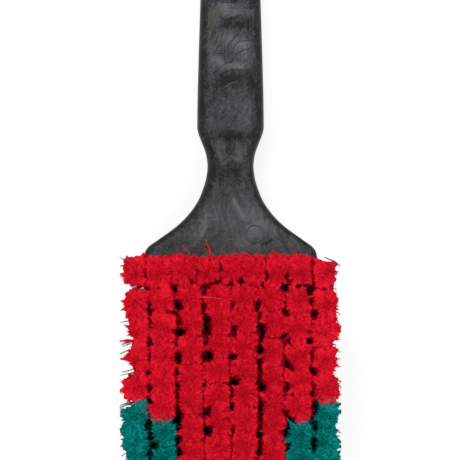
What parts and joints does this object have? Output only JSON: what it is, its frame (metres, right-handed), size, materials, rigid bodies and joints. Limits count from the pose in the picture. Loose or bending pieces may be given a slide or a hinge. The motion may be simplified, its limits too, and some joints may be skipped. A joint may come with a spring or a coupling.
{
  "type": "hand scrub brush",
  "caption": "Hand scrub brush: a black moulded block and handle in one piece, set with rows of splayed red tufts and green side tufts.",
  "frame": {"origin": "middle of the head's flat back, which the brush lies on", "axes": "+Z the way the bristles point, +Y from the toe of the head to the handle's end, +X to the right when looking down on the bristles with the handle away"},
  "size_m": [0.0904, 0.32, 0.067],
  "materials": {
    "black_plastic": "satin black moulded structural foam with faint silvery flow swirls",
    "red_bristle": "split-tip red synthetic filament, velvety at the trimmed tips",
    "green_bristle": "split-tip blue-green synthetic filament, velvety at the trimmed tips"
  },
  "bodies": {
    "root": {"brush_body": "black_plastic", "tuft_row_01_red": "red_bristle", "tuft_row_02_red": "red_bristle", "tuft_row_03_red": "red_bristle", "tuft_row_04_red": "red_bristle", "tuft_row_05_red": "red_bristle", "tuft_row_06_green_left": "green_bristle", "tuft_row_06_red": "red_bristle", "tuft_row_06_green_right": "green_bristle", "tuft_row_07_green_left": "green_bristle", "tuft_row_07_red": "red_bristle", "tuft_row_07_green_right": "green_bristle", "tuft_row_08_green_left": "green_bristle", "tuft_row_08_red": "red_bristle", "tuft_row_08_green_right": "green_bristle", "tuft_row_09_green_left": "green_bristle", "tuft_row_09_red": "red_bristle", "tuft_row_09_green_right": "green_bristle", "tuft_row_10_green_left": "green_bristle", "tuft_row_10_red": "red_bristle", "tuft_row_10_green_right": "green_bristle", "tuft_row_11_green_left": "green_bristle", "tuft_row_11_red": "red_bristle", "tuft_row_11_green_right": "green_bristle", "tuft_row_12_green_left": "green_bristle", "tuft_row_12_red": "red_bristle", "tuft_row_12_green_right": "green_bristle", "tuft_row_13_green_left": "green_bristle", "tuft_row_13_red": "red_bristle", "tuft_row_13_green_right": "green_bristle", "tuft_row_14_green_left": "green_bristle", "tuft_row_14_red": "red_bristle", "tuft_row_14_green_right": "green_bristle"}
  },
  "joints": []
}
